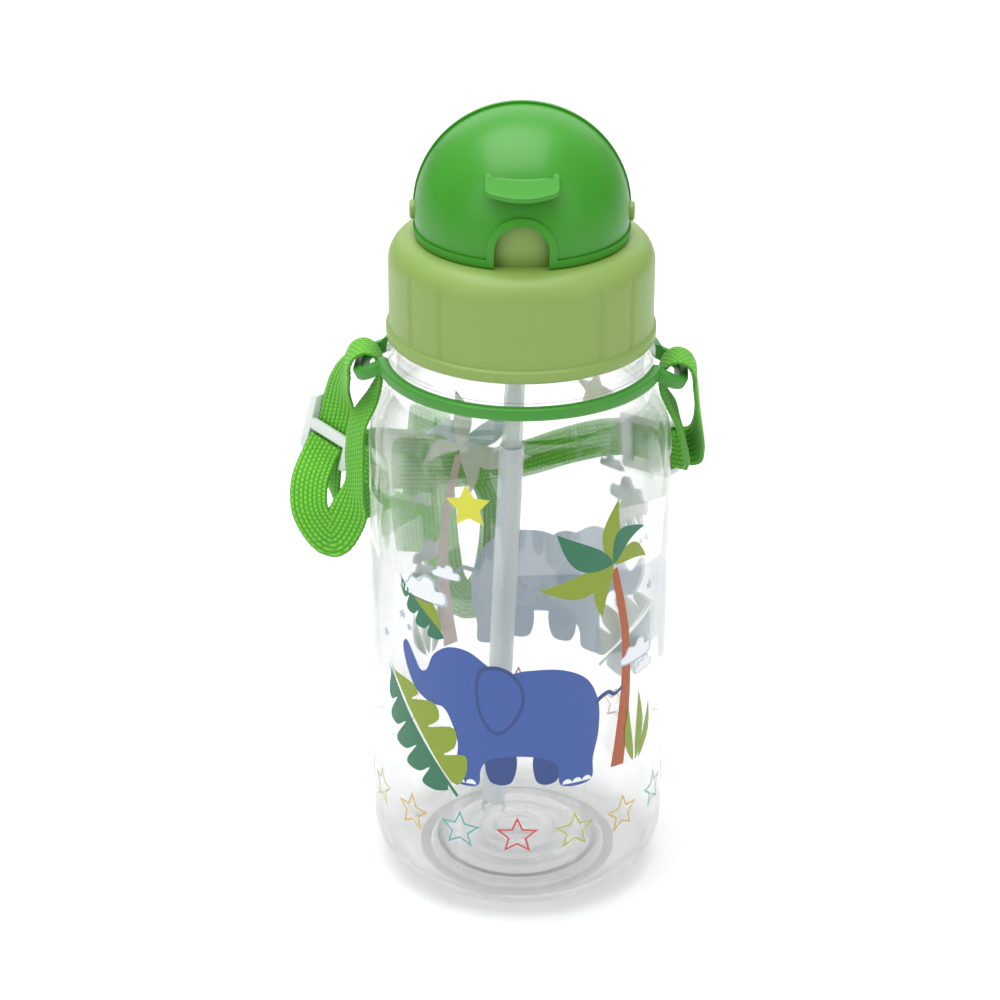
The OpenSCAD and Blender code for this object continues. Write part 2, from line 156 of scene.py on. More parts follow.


# %% [markdown]
# ## Making a piece
# Every piece ends the same way: smooth faces with sharp edges only where the form turns
# quickly, one material, the body that it moves with, and the engineering solid that it
# stands for.

# %% Piece helpers
def placed(name, data):
    obj = bpy.data.objects.new(name, data)
    scene.collection.objects.link(obj)
    return obj


def raw(name, points, faces):
    """A mesh as it is given; points are in millimetres."""
    mesh = bpy.data.meshes.new(name)
    mesh.from_pydata([Vector(p) * MM for p in points], [], faces)
    return placed(name, mesh)


def merged(obj):
    """Join doubled points and turn every face outwards."""
    work = bmesh.new()
    work.from_mesh(obj.data)
    bmesh.ops.remove_doubles(work, verts=work.verts, dist=1e-6)
    bmesh.ops.recalc_face_normals(work, faces=work.faces)
    work.to_mesh(obj.data)
    work.free()
    return obj


def solid(name, points, faces):
    return merged(raw(name, points, faces))


def piece(name, points, faces, body, slot, finish, replaced=(), sharp=35):
    return finished(raw(name, points, faces), body, finish, replaced, sharp)


def finished(obj, body, finish, replaced=(), sharp=35, even=False):
    mesh = merged(obj).data
    mesh.shade_smooth()
    mesh.set_sharp_from_angle(angle=math.radians(sharp))
    mesh.materials.clear()
    mesh.materials.append(finish.material)
    if even:                 # broad flat faces keep flat shading beside their bevels
        obj.modifiers.new("even_shading", "WEIGHTED_NORMAL").keep_sharp = True
        applied(obj)
    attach(obj, body)
    if replaced:
        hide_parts(*replaced)
    print(obj.name, len(obj.data.polygons), "faces")
    return obj


def applied(obj):
    """Turn what the modifiers show into the object's own mesh."""
    graph = bpy.context.evaluated_depsgraph_get()
    graph.update()
    mesh = bpy.data.meshes.new_from_object(obj.evaluated_get(graph))
    obj.modifiers.clear()
    obj.data = mesh
    return obj


def rounded(outline, steps=4):
    """An outline of (x, y, radius) corners with each corner turned into a short curve."""
    out = []
    for i, (x, y, r) in enumerate(outline):
        here = Vector((x, y))
        if r <= 0:
            out.append((x, y))
            continue
        ahead = Vector(outline[(i + 1) % len(outline)][:2]) - here
        behind = Vector(outline[i - 1][:2]) - here
        half = ahead.angle(behind) / 2
        reach = min(r / math.tan(half), 0.48 * ahead.length, 0.48 * behind.length)
        a, b = here + behind.normalized() * reach, here + ahead.normalized() * reach
        for k in range(steps + 1):
            t = k / steps
            out.append(tuple(a * (1 - t) ** 2 + here * 2 * t * (1 - t) + b * t * t))
    return out


def arc(cx, cy, r, a0, a1, n):
    turns = [math.radians(a0 + (a1 - a0) * i / n) for i in range(n + 1)]
    return [(cx + r * math.cos(a), cy + r * math.sin(a)) for a in turns]


def turned(outline, sides=128, shape=None, closed=True, place=None):
    """Points and faces of an outline (radius, height) turned about the axis."""
    points, faces, n = [], [], len(outline)
    for s in range(sides):
        a = 2 * math.pi * s / sides
        for r, z in outline:
            if shape:
                r = shape(r, z, a)
            p = Vector((r * math.sin(a), -r * math.cos(a), z))
            points.append(place @ p if place else p)
    for s in range(sides):
        t = (s + 1) % sides
        for i in range(n if closed else n - 1):
            j = (i + 1) % n
            if outline[i][0] < 1e-6 and outline[j][0] < 1e-6:
                continue
            quad = [s * n + i, t * n + i, t * n + j, s * n + j]
            if outline[i][0] < 1e-6:
                quad.pop(1)
            elif outline[j][0] < 1e-6:
                quad.pop(2)
            faces.append(quad)
    return points, faces


def joined(*parts):
    """Several (points, faces) pairs as one."""
    points, faces = [], []
    for p, f in parts:
        base = len(points)
        points += list(p)
        faces += [[base + i for i in face] for face in f]
    return points, faces


print("piece helpers ready")


# %% [markdown]
# ## The strap
# One length of woven webbing hangs from the ring: up through the right ear, through the right
# adjuster, round the back, down in two loose folds, and up through the left adjuster and ear.
# Webbing bends on its flat and hardly on its edge, so it is swept as a ribbon: each row of
# the route gives a point on its middle line and the way its width lies. The weave is built
# into the mesh, because its small knobs are what the eye sees first along the edges.

# %% The strap's route
ROUTE = np.array([
    [34.83, 23.28, 101.2, -0.07, 0.07, 0.99], [39.8, 19.7, 101.9, -0.07, 0.07, 0.99],
    [42.5, 16.8, 103.6, -0.25, 0.45, 0.85], [43.2, 11.2, 109, -0.22, 0.71, 0.67],
    [42.7, 5.2, 116.2, -0.12, 0.81, 0.58], [41.7, 0.6, 123.5, 0, 0.92, 0.38],
    [40.9, -1.5, 129, 0.03, 1, 0.05], [40.7, -2, 131.6, 0.05, 1, 0], [39.4, -2, 134.2, 0.05, 1, 0],
    [37, -1.95, 135.4, 0.05, 1, 0], [34.6, -1.8, 134.6, 0.05, 1, 0], [33, -1.7, 131.8, 0.05, 1, 0],
    [33, -1.7, 128.2, 0.05, 1, 0], [34.4, -1.3, 124.4, 0, 0.99, 0.1],
    [36.8, 0.9, 119.2, -0.05, 0.92, 0.35], [38.4, 5.2, 112.8, -0.15, 0.8, 0.55],
    [39.9, 11.2, 106.2, -0.18, 0.6, 0.75], [39.55, 16.3, 102.2, -0.07, 0.07, 0.99],
    [37.2, 18.6, 101.7, -0.07, 0.07, 0.99], [32, 23.6, 101, -0.07, 0.07, 0.99],
    [26.6, 28.7, 100.1, -0.07, 0.07, 0.99], [20, 33.4, 97.5, -0.1, 0.05, 1],
    [11, 37.8, 93, -0.1, 0, 1], [2, 39.5, 89, -0.1, 0, 1], [-8, 39.5, 86.5, 0, 0, 1],
    [-18, 37, 86.5, 0, 0, 1],
    [-27, 31.5, 89, 0, 0, 1], [-33, 27.5, 91, 0, 0, 1], [-38, 27, 92.5, 0, 0, 1],
    [-40.5, 31, 93.5, 0, 0, 1], [-38, 36, 93.5, 0, 0, 1], [-31, 40, 91.5, 0, 0, 1],
    [-22, 43, 89.5, 0, 0, 1], [-13, 44, 86, 0.35, 0, 0.94], [-7.2, 44, 79, 0.75, 0, 0.65],
    [-5.5, 44, 70, 1, 0, 0.1], [-6, 44, 60, 1, 0, 0], [-8.5, 44, 50, 0.95, 0, -0.3],
    [-13.5, 44, 44.5, 0.1, 0, -1], [-18.5, 44, 50, -0.9, 0, -0.35], [-20.5, 44.3, 60, -1, 0, 0],
    [-21.5, 46, 71, -1, 0, 0], [-22.5, 48.5, 84, -1, 0, 0], [-23, 50, 94, -1, 0, 0],
    [-23.5, 52.3, 97.5, -1, 0, 0], [-24, 54.6, 94, -1, 0, 0], [-25, 55.5, 84, -1, 0, 0],
    [-26, 55, 70, -1, 0, 0], [-27, 53.8, 60, -1, 0.1, 0], [-27.5, 51.3, 56, -1, 0.1, 0],
    [-28, 50, 60, -1, 0.1, 0], [-29.5, 50.4, 70, -1, 0.15, 0], [-34, 45.5, 76.5, -0.7, 0.35, 0.6],
    [-38.5, 37, 78.5, -0.2, 0.2, 0.95], [-42, 28, 79.5, 0, 0, 1], [-44, 19, 84, 0, 0.35, 0.93],
    [-46.2, 12.8, 93, -0.45, 0.7, 0.5], [-46.95, 10.75, 102.5, -0.78, 0.58, 0.24],
    [-45.3, 10, 109.8, -0.78, 0.58, 0.24], [-43.65, 9.25, 117.1, -0.78, 0.58, 0.24],
    [-42.6, 6.2, 123.6, -0.5, 0.85, 0.1], [-41.1, 2.8, 129, -0.2, 0.98, 0],
    [-40.7, 2.3, 131.6, -0.1, 1, 0], [-39.4, 2.1, 134.2, -0.1, 1, 0], [-37, 1.95, 135.4, -0.1, 1, 0],
    [-34.6, 1.8, 134.6, -0.1, 1, 0], [-33, 1.7, 131.8, -0.05, 1, 0], [-33, 1.6, 128.2, -0.05, 1, 0],
    [-34.8, 1, 123.4, -0.2, 0.97, 0], [-38.4, -1.3, 117.2, -0.4, 0.92, 0],
    [-39.3, -2.3, 109, -0.5, 0.87, 0], [-39.5, -2.4, 100, -0.52, 0.85, 0],
    [-41.4, -2, 92.7, -0.8, 0.3, 0.45], [-45.3, -1.4, 86.6, 0.1, 0.15, 0.98],
    [-50.3, 0.4, 92.2, 0.85, -0.2, 0.45], [-50.8, 3.5, 98.7, 0.93, -0.35, 0.05],
    [-48.8, 7.6, 103.9, 0.78, -0.58, -0.24], [-46.8, 8.8, 107.7, 0.78, -0.58, -0.24]])


def through(rows, spacing):
    """A smooth curve through rows, resampled at even spacing along its first three columns."""
    ends = np.vstack([2 * rows[0] - rows[1], rows, 2 * rows[-1] - rows[-2]])
    out = []
    for i in range(1, len(ends) - 2):
        p = ends[i - 1:i + 3]
        t = np.concatenate([[0], np.cumsum(np.linalg.norm(np.diff(p[:, :3], axis=0), axis=1) ** 0.5)])
        for u in np.linspace(t[1], t[2], 24, endpoint=False):
            a = [((t[k + 1] - u) * p[k] + (u - t[k]) * p[k + 1]) / (t[k + 1] - t[k]) for k in range(3)]
            b = [((t[k + 2] - u) * a[k] + (u - t[k]) * a[k + 1]) / (t[k + 2] - t[k]) for k in range(2)]
            out.append(((t[2] - u) * b[0] + (u - t[1]) * b[1]) / (t[2] - t[1]))
    out = np.array(out + [rows[-1]])
    run = np.concatenate([[0], np.cumsum(np.linalg.norm(np.diff(out[:, :3], axis=0), axis=1))])
    even = np.arange(0, run[-1], spacing)
    return even, np.stack([np.interp(even, run, out[:, c]) for c in range(out.shape[1])], 1)


RIB = 1.15               # one row of knobs along the webbing
WEB_HALF, WEB_THICK = 4.95, 0.5
run, line = through(ROUTE, RIB / 4)
print("strap length", round(run[-1], 1), "mm in", len(run), "rows")

# %% [markdown]
# The knobs of one rib sit in the gaps of the next, as they do in a narrow woven tape. Four
# rows of points make one rib and two columns make one knob, which is enough once the faces
# are smooth. The selvedge swells at each rib, so the outline is scalloped.

# %% The webbing's mesh
KNOBS = 8                # columns of knobs across the webbing
FACE = 0.965             # share of the width that the knobs cover
SUNK, KNOB_H = 0.12, 0.27    # the gaps lie this far below the flat face, and a knob's height
forward = np.gradient(line[:, :3], axis=0)
forward /= np.linalg.norm(forward, axis=1)[:, None]
width = line[:, 3:] - (line[:, 3:] * forward).sum(1)[:, None] * forward
width /= np.linalg.norm(width, axis=1)[:, None]
across = np.linspace(-1, 1, 2 * KNOBS + 1)
swell = 0.5 + 0.5 * np.cos(2 * np.pi * run / RIB)
ring_v, ring_h = [], []
for side in (1, -1):
    for v in across * side:
        ring_v.append(v * FACE)
        ring_h.append(side * (1 - 0.35 * abs(v) ** 8))
    ring_v.append(side * 1.0)
    ring_h.append(0.0)
ring_v, ring_h = np.array(ring_v), np.array(ring_h)
column = 0.5 - 0.5 * np.cos(np.pi * KNOBS * ring_v / FACE)
parity = np.sin(np.pi * KNOBS / 2 * ring_v / FACE)
knob = column * (0.6 + 0.4 * parity * np.cos(2 * np.pi * run / RIB)[:, None])
height = ring_h[None, :] * (WEB_THICK - SUNK + KNOB_H * knob)
reach = WEB_HALF * ring_v[None, :] * (1 + 0.028 * (swell[:, None] - 0.6))
up = np.cross(forward, width)
cloth = line[:, None, :3] + reach[..., None] * width[:, None] + height[..., None] * up[:, None]
rows, cols = cloth.shape[:2]
index = np.arange(rows * cols).reshape(rows, cols)
nxt = np.roll(index, -1, axis=1)
quads = np.stack([index[:-1], index[1:], nxt[1:], nxt[:-1]], -1).reshape(-1, 4).tolist()
quads += [index[0].tolist(), index[-1][::-1].tolist()]

WEB = Finish("webbing", Roughness=0.72, Sheen_Weight=0.12, Sheen_Roughness=0.5)
sheet_uv = WEB.place("UV")
parts = WEB.node("SeparateXYZ", None, (sheet_uv,)).socket.node.outputs
across_mm, along_mm = Value(WEB, parts[0]), Value(WEB, parts[1])
turn = across_mm * (math.pi * KNOBS / (FACE * WEB_HALF))
lattice = ((turn * 0.5).math("SINE") * (along_mm * (2 * math.pi / RIB)).math("COSINE") * 0.45 + 0.55)
# Painted light and shade: the knob tops are painted lighter and the gaps between the knobs painted darker,
# following the same knob pattern as the mesh.
knob_light_and_shade = lattice * (0.5 - turn.math("COSINE") * 0.5)
yarn = (across_mm * 14.0 + WEB.noise(900, 1) * 1.6).math("SINE") * 0.5 + 0.5
patch = WEB.noise(160, 3)
gap_shade_colour = WEB.mix(patch, paint(38, 122, 14), paint(50, 140, 18))
knob_light_colour = WEB.mix(patch, paint(112, 206, 40), paint(130, 216, 56))
WEB.set("Base Color", WEB.mix(knob_light_and_shade ** 0.45, gap_shade_colour, knob_light_colour))
WEB.set("Roughness", WEB.swing(0.62, 0.82, patch))
WEB.bump(yarn * 0.7 + WEB.noise(2600, 2) * 0.5, 0.00006, 0.8)

strap = piece("strap_webbing", cloth.reshape(-1, 3), quads, "carrier", "webbing", WEB, ("strap",), 80)
uv = strap.data.uv_layers.new(name="cloth")
flat_uv = np.stack([np.broadcast_to(WEB_HALF * ring_v, (rows, cols)),
                    np.broadcast_to(run[:, None], (rows, cols))], -1).reshape(-1, 2)
corner = np.empty(len(strap.data.loops), int)
strap.data.loops.foreach_get("vertex_index", corner)
uv.data.foreach_set("uv", flat_uv[corner].ravel())


# %% [markdown]
# ## The clear body
# The body is blown from clear plastic: a thin wall, a round shoulder, a raised floor with
# moulded rings, two beads on the neck that hold the carrier ring, and a threaded mouth. A
# turned outline with rounded corners gives the thin wall a real thickness, and that is what
# makes clear plastic show its pale grey edges.

# %% The body's outline
outer_low = [(0, 4.1, 0), (4.6, 4.1, 0), (5.2, 3.75, 0.3), (5.8, 4.1, 0.3), (9, 4.1, 0.5),
             (9.8, 3.3, 0.5), (13, 3.15, 0), (13.5, 2.75, 0.3), (14, 3.1, 0.3), (17, 2.9, 3),
             (21.5, 0, 1.5), (24.5, 0, 0)]
outer_high = [(30.6, 130.57, 0), (31.5, 130.87, 0.3), (31.5, 131.97, 0.3), (30.6, 131.97, 0.3),
              (30.6, 135.77, 0.3), (31.5, 135.77, 0.3), (31.5, 136.57, 0.3), (30.6, 136.87, 0.4),
              (30.6, 139.97, 0.6), (27.6, 139.97, 0.5), (27.6, 160.57, 0.6), (25.9, 160.57, 0.6),
              (25.9, 139.97, 2), (29.0, 137.57, 0)]
inner_low = [(21.5, 1.6, 1.5), (17, 4.9, 3), (9.4, 5.3, 0.4), (8.6, 6.1, 0.4), (0, 6.1, 0)]
SHOULDER, SHOULDER_R, HEEL, WALL = (16, 113), 20, (24.5, 11.5), 1.6
TURN = math.degrees(math.acos(14.6 / SHOULDER_R))
body_line = (rounded(outer_low) + arc(*HEEL, HEEL[1], -84, 0, 14)
             + arc(*SHOULDER, SHOULDER_R, 0, TURN, 10) + rounded(outer_high)
             + arc(*SHOULDER, SHOULDER_R - WALL, TURN, 0, 10)
             + arc(*HEEL, HEEL[1] - WALL, 0, -90, 10) + rounded(inner_low))

CLEAR = Finish("clear_body", IOR=1.45, Transmission_Weight=1.0, Roughness=0.03)
haze = CLEAR.noise(26, 3)
CLEAR.set("Base Color", CLEAR.mix(haze, paint(246, 250, 250), paint(252, 254, 254)))
CLEAR.set("Roughness", CLEAR.swing(0.015, 0.05, haze))
CLEAR.bump(CLEAR.noise(34, 1), 0.00012, 0.15)
edge = CLEAR.node("LayerWeight", None, {"Blend": 0.5}, "Facing")
CLEAR.set("Alpha", edge ** 2.2 * 0.62 + 0.12)
piece("clear_body", *turned(body_line, 144), "root", "clear_plastic", CLEAR, ("bottle",), 50)


# %% [markdown]
# ## Threads
# The thread on the mouth and the one inside the cap are the same ridge: an eight-sided rod
# swept up a spiral. A geometry node tree makes both, so the pitch and turns are typed once.

# %% How node trees begin and end, and the thread's tree
def begun(name, **sockets):
    """A geometry node tree with named inputs, with what adds a node and what joins two."""
    tree = bpy.data.node_groups.new(name, "GeometryNodeTree")
    for label, kind in (("Geometry", "Geometry"), *sockets.items()):
        tree.interface.new_socket(label, in_out="INPUT", socket_type="NodeSocket" + kind)
    tree.interface.new_socket("Geometry", in_out="OUTPUT", socket_type="NodeSocketGeometry")
    return tree, tree.nodes.new, tree.links.new


def ended(tree, shape, finish):
    """Make instances real, give them their material and lead them out of the tree."""
    real = tree.nodes.new("GeometryNodeRealizeInstances")
    paint_it = tree.nodes.new("GeometryNodeSetMaterial")
    paint_it.inputs["Material"].default_value = finish.material
    tree.links.new(shape, real.inputs[0])
    tree.links.new(real.outputs[0], paint_it.inputs["Geometry"])
    tree.links.new(paint_it.outputs[0], tree.nodes.new("NodeGroupOutput").inputs["Geometry"])
    return tree


def thread_tree(finish):
    tree, add, join = begun("thread_ridge", Radius="Float", Height="Float", Rise="Float",
                            Turns="Float", Ridge="Float")
    given = add("NodeGroupInput")
    spiral, lift = add("GeometryNodeCurveSpiral"), add("GeometryNodeTransform")
    spiral.inputs["Resolution"].default_value = 96
    join(given.outputs["Turns"], spiral.inputs["Rotations"])
    join(given.outputs["Radius"], spiral.inputs["Start Radius"])
    join(given.outputs["Radius"], spiral.inputs["End Radius"])
    join(given.outputs["Rise"], spiral.inputs["Height"])
    place = add("ShaderNodeCombineXYZ")
    join(given.outputs["Height"], place.inputs["Z"])
    join(place.outputs[0], lift.inputs["Translation"])
    join(spiral.outputs["Curve"], lift.inputs["Geometry"])
    rod, sweep = add("GeometryNodeCurvePrimitiveCircle"), add("GeometryNodeCurveToMesh")
    rod.inputs["Resolution"].default_value = 8
    join(given.outputs["Ridge"], rod.inputs["Radius"])
    sweep.inputs["Fill Caps"].default_value = True
    join(lift.outputs[0], sweep.inputs["Curve"])
    join(rod.outputs[0], sweep.inputs["Profile Curve"])
    return ended(tree, sweep.outputs[0], finish)


def from_tree(name, tree, values):
    """Run a geometry node tree with named inputs and keep its result as a plain mesh."""
    obj = placed(name, bpy.data.meshes.new(name))
    maker = obj.modifiers.new("make", "NODES")
    maker.node_group = tree
    for item in tree.interface.items_tree:
        if item.in_out == "INPUT" and item.name in values:
            maker[item.identifier] = values[item.name]
    return applied(obj)


PITCH, THREAD_TURNS, RIDGE = 0.005, 1.3, 0.00105
spiral = {"Height": 0.14657, "Rise": PITCH * THREAD_TURNS, "Turns": THREAD_TURNS, "Ridge": RIDGE}
mouth_thread = from_tree("mouth_thread", thread_tree(CLEAR), dict(spiral, Radius=0.0275))
finished(mouth_thread, "root", CLEAR, sharp=60)


# %% [markdown]
# ## The screw cap
# The cap is moulded in a soft lime. Its grip is made of shallow upright flutes, in pairs.
# A flute is where a thin upright rod would bite into the skirt, so each point of the turned
# outline is simply kept outside those rods. The small disc on the front is the gate mark,
# where the plastic flowed into the mould.

# %% Coloured plastic finishes
def moulded(name, dark, light, rough, grain=0.4, **constants):
    """Injection-moulded plastic: faint flow clouds, a fine spark texture and a soft gloss."""
    made = Finish(name, **constants)
    clouds, speck = made.noise(45, 4), made.noise(1500, 2)
    made.set("Base Color", made.mix(clouds, dark, light))
    made.set("Roughness", made.swing(rough - 0.05, rough + 0.07, clouds * 0.6 + speck * 0.4))
    made.bump(speck + clouds * 0.4, 0.00003, grain)
    return made


LIME = moulded("lime_plastic", paint(130, 160, 76), paint(137, 167, 83), 0.42, Coat_Weight=0.06)
GREEN = moulded("cover_green", paint(46, 139, 15), paint(54, 148, 19), 0.38, Coat_Weight=0.06)
RING = moulded("ring_green", paint(54, 136, 38), paint(63, 147, 45), 0.4)

# %% The cap's outline
FLUTE_MIDDLE, FLUTE_R, FLUTE_LOW = 31.9, 1.5, 144.2
FLUTES = [math.radians(a + b) for a in (45, 135, 225, 315) for b in (-9, 9)]
GATE_R, GATE_Z, GATE_DEEP, CAP_R = 2.0, 150.5, 0.09, 30.85


def fluted(r, z, a):
    if r < 26 or z < 143 or z > 164.5:
        return r
    if z > FLUTE_LOW:
        for flute in FLUTES:
            off = (a - flute + math.pi) % (2 * math.pi) - math.pi
            side = FLUTE_MIDDLE * math.sin(off)
            if abs(off) < 0.2 and abs(side) < FLUTE_R:
                r = min(r, FLUTE_MIDDLE * math.cos(off) - math.sqrt(FLUTE_R ** 2 - side ** 2))
    turn = (a + math.pi) % (2 * math.pi) - math.pi
    away = math.hypot(CAP_R * turn, z - GATE_Z)
    if r > 30 and away < GATE_R and abs(turn) < 1:
        r -= GATE_DEEP * min(1, (GATE_R - away) / 0.4)
    return r


skirt = [(CAP_R, z) for z in np.linspace(143.75, 158.2, 30)]
cap_line = (rounded([(29.2, 140.47, 0), (31.5, 140.47, 0.75), (31.5, 143.07, 0.35),
                     (CAP_R, 143.5, 0)])
            + skirt + arc(24.65, 158.77, 6.2, 4, 90, 12)
            + rounded([(22.5, 164.97, 0), (21.97, 164.97, 0.15), (21.97, 163.97, 0.1),
                       (20.37, 163.97, 0.1), (20.37, 164.97, 0.15), (6, 164.97, 0.3),
                       (6, 162.67, 0.2), (28.6, 162.67, 0), (29.2, 162.07, 0)]))
piece("screw_cap", *turned(cap_line, 360, fluted), "cap", "lime_plastic", LIME,
      ("screw_cap",), 40)
cap_thread = from_tree("cap_thread", thread_tree(LIME),
                       dict(spiral, Radius=0.0293, Height=0.14907))
finished(cap_thread, "cap", LIME, sharp=60)


# %% [markdown]
# ## The dome cover
# The cover is a thin dome with a raised rim along its lower edge and round the arched
# opening, a straight back edge, and a finger tab. It could be modelled face by face, but a
# mould maker thinks of it as solids added and cut away, so it is made that way here. A small
# bevel then softens each edge, as a mould does.

# %% Solid shapes to add and cut
def block(low, high, place=None):
    points = [Vector((x, y, z)) for x in (low[0], high[0]) for y in (low[1], high[1])
              for z in (low[2], high[2])]
    faces = [(0, 1, 3, 2), (4, 6, 7, 5), (0, 4, 5, 1), (2, 3, 7, 6), (0, 2, 6, 4), (1, 5, 7, 3)]
    return solid("block", [place @ p if place else p for p in points], faces)


def prism(outline, low, high, place):
    """An outline of (x, y) points raised from low to high along its own third axis."""
    n = len(outline)
    points = [place @ Vector((x, y, z)) for z in (low, high) for x, y in outline]
    faces = [list(range(n)), list(range(n, 2 * n))]
    faces += [(i, (i + 1) % n, n + (i + 1) % n, n + i) for i in range(n)]
    return solid("prism", points, faces)


def ball(radius, middle, sides=160, rings=80):
    outline = [(radius * math.sin(math.pi * k / rings), middle - radius * math.cos(math.pi * k / rings))
               for k in range(rings + 1)]
    outline[0], outline[-1] = (0, middle - radius), (0, middle + radius)
    return solid("ball", *turned(outline, sides, closed=False))


def combine(obj, tool, operation):
    mod = obj.modifiers.new("combine", "BOOLEAN")
    mod.operation, mod.object, mod.solver = operation, tool, "EXACT"
    applied(obj)
    bpy.data.objects.remove(tool)
    return obj


def softened(obj, width, segments=2, angle=34):
    bevel = obj.modifiers.new("soften", "BEVEL")
    bevel.width, bevel.segments, bevel.limit_method = width * MM, segments, "ANGLE"
    bevel.angle_limit = math.radians(angle)
    return applied(obj)


# %% The cover
CAP_TOP, DOME_Z = 164.969, 170.469
DOME_RIM, DOME_OUT, DOME_IN = 25.25, 24.7, 23.3
COVER_LOW, RIM_W, BACK_Y = CAP_TOP + 0.3, 1.9, 4.5
ARCH_W, ARCH_TOP, ARCH_RIM = 12.3, 10.6, 1.7
FRONT = Matrix.Translation((0, 0, CAP_TOP)) @ Matrix.Rotation(math.pi / 2, 4, "X")


def arch(grow):
    """The arched opening as a prism that runs out through the dome's front."""
    half, spring = ARCH_W / 2 + grow, ARCH_TOP - ARCH_W / 2
    outline = [(-half, -spring), (half, -spring)] + arc(0, spring, half, 0, 180, 40)
    return prism(outline, 0, 28, FRONT)


rims = block((-30, -30, COVER_LOW - 2), (30, 30, COVER_LOW + RIM_W))
combine(rims, block((-30.5, BACK_Y - RIM_W, COVER_LOW - 0.5), (30.5, 30.5, COVER_LOW + 60)), "UNION")
combine(rims, arch(ARCH_RIM), "UNION")
combine(rims, ball(DOME_RIM, DOME_Z), "INTERSECT")
cover = ball(DOME_OUT, DOME_Z)
cover.name = "dome_cover"
combine(cover, rims, "UNION")

TAB_W, TAB_REACH, TAB_T, TAB_ROUND = 8.35, 5.8, 1.4, 2.6
TAB_TURN, TAB_TILT = math.radians(32), math.radians(16)
tab_line = [(TAB_W, 3.5), (-TAB_W, 3.5)]
tab_line += arc(-TAB_W + TAB_ROUND, -TAB_REACH + 4.2, TAB_ROUND, 180, 250, 6)
tab_line += arc(0, 12.5 - TAB_REACH, 12.5, 255, 285, 10)
tab_line += arc(TAB_W - TAB_ROUND, -TAB_REACH + 4.2, TAB_ROUND, 290, 360, 6)
TAB_AT = (Matrix.Translation((0, -DOME_OUT * math.cos(TAB_TURN), DOME_Z + DOME_OUT * math.sin(TAB_TURN)))
          @ Matrix.Rotation(TAB_TILT, 4, "X"))
tab = softened(prism(tab_line, -TAB_T / 2, TAB_T / 2, TAB_AT), 0.4, 3, 60)
combine(cover, tab, "UNION")
combine(cover, ball(DOME_IN, DOME_Z), "DIFFERENCE")
combine(cover, block((-40, -40, COVER_LOW - 60), (40, 40, COVER_LOW)), "DIFFERENCE")
combine(cover, block((-41, BACK_Y, COVER_LOW - 1), (41, 41, COVER_LOW + 80)), "DIFFERENCE")
combine(cover, arch(0), "DIFFERENCE")

PIN_R, HOLE_R = 2.25, 2.3
SIDEWAYS = Matrix.Translation((0, 0, DOME_Z)) @ Matrix.Rotation(math.pi / 2, 4, "Y")
hole = [(HOLE_R * math.cos(a), HOLE_R * math.sin(a)) for a in np.linspace(0, 2 * math.pi, 49)[:-1]]
combine(cover, prism(hole, -40, 40, SIDEWAYS), "DIFFERENCE")
heel = arc(0, 0, 5.2, 0, 90, 20) + [(0, 9), (9, 9), (9, 0)]
heel_at = Matrix.Translation((-40, 0, DOME_Z)) @ Matrix.Rotation(math.pi / 2, 4, "Y")
combine(cover, prism(heel, 0, 80, heel_at), "DIFFERENCE")
softened(cover, 0.28, 2, 30)
finished(cover, "cover", GREEN, ("flip_cover",), 40, even=True)


# %% [markdown]
# ## The spout housing
# A low round wall stands in a groove in the cap. The cover closes over it, and turns on the
# two round pins that stand out of its sides. Through the arch it shows as a pale panel.

# %% Housing and pins
HOUSE_R, HOUSE_WALL, HOUSE_TOP, FOOT_OUT = 22.6, 1.5, 12, 21.92
lean = math.degrees(math.asin(5.5 / HOUSE_R))
rise = math.degrees(math.asin((HOUSE_TOP - 5.5) / HOUSE_R))
lip = HOUSE_R * math.cos(math.radians(rise))
dish = CAP_TOP + 7.5
house_line = ([(FOOT_OUT - HOUSE_WALL, CAP_TOP - 1), (FOOT_OUT, CAP_TOP - 1)]
              + arc(0, DOME_Z, HOUSE_R, -lean, rise, 10)
              + rounded([(lip, CAP_TOP + HOUSE_TOP, 0), (lip - 1, CAP_TOP + HOUSE_TOP + 0.5, 0.4),
                         (lip - 2, CAP_TOP + HOUSE_TOP, 0.4), (9.4, dish + 0.8, 1),
                         (6.8, dish, 0.3), (6.8, dish - 1.5, 0.3), (9.4, dish - 0.8, 0)])
              + arc(0, DOME_Z, HOUSE_R - HOUSE_WALL, rise - 8, -lean, 10))
pins = []
for side in (1, -1):
    turn = Matrix.Translation((0, 0, DOME_Z)) @ Matrix.Rotation(side * math.pi / 2, 4, "Y")
    pin = [(0, HOUSE_R - 1), (PIN_R, HOUSE_R - 1), (PIN_R, 25.35), (PIN_R - 0.4, 25.75), (0, 25.75)]
    pins.append(turned(pin, 48, closed=False, place=turn))
piece("spout_housing", *joined(turned(house_line, 128), *pins), "cap", "lime_plastic", LIME,
      ("spout_housing",))


# %% [markdown]
# ## Spout, seal and straw
# The drinking parts are turned shapes in soft and milky materials. The straw leans a little,
# as it does in use, and its foot is cut at a slant so that it can't seal on the floor.

# %% Soft and milky finishes
def milky(name, dark, light, rough, **constants):
    made = Finish(name, **constants)
    cloud = made.noise(60, 3)
    made.set("Base Color", made.mix(cloud, dark, light))
    made.set("Roughness", made.swing(rough - 0.06, rough + 0.08, cloud))
    made.bump(made.noise(700, 2), 0.00003, 0.3)
    return made


SOFT = milky("silicone", paint(222, 228, 220), paint(236, 240, 234), 0.5, Subsurface_Weight=0.15)
STRAW = milky("straw_plastic", paint(222, 230, 232), paint(234, 240, 242), 0.3, Alpha=0.68)
SOCKET = milky("clear_fitting", paint(214, 226, 218), paint(228, 238, 232), 0.2, Alpha=0.5)
MILK = milky("milky_plastic", paint(224, 232, 228), paint(240, 246, 243), 0.34, Alpha=0.92)

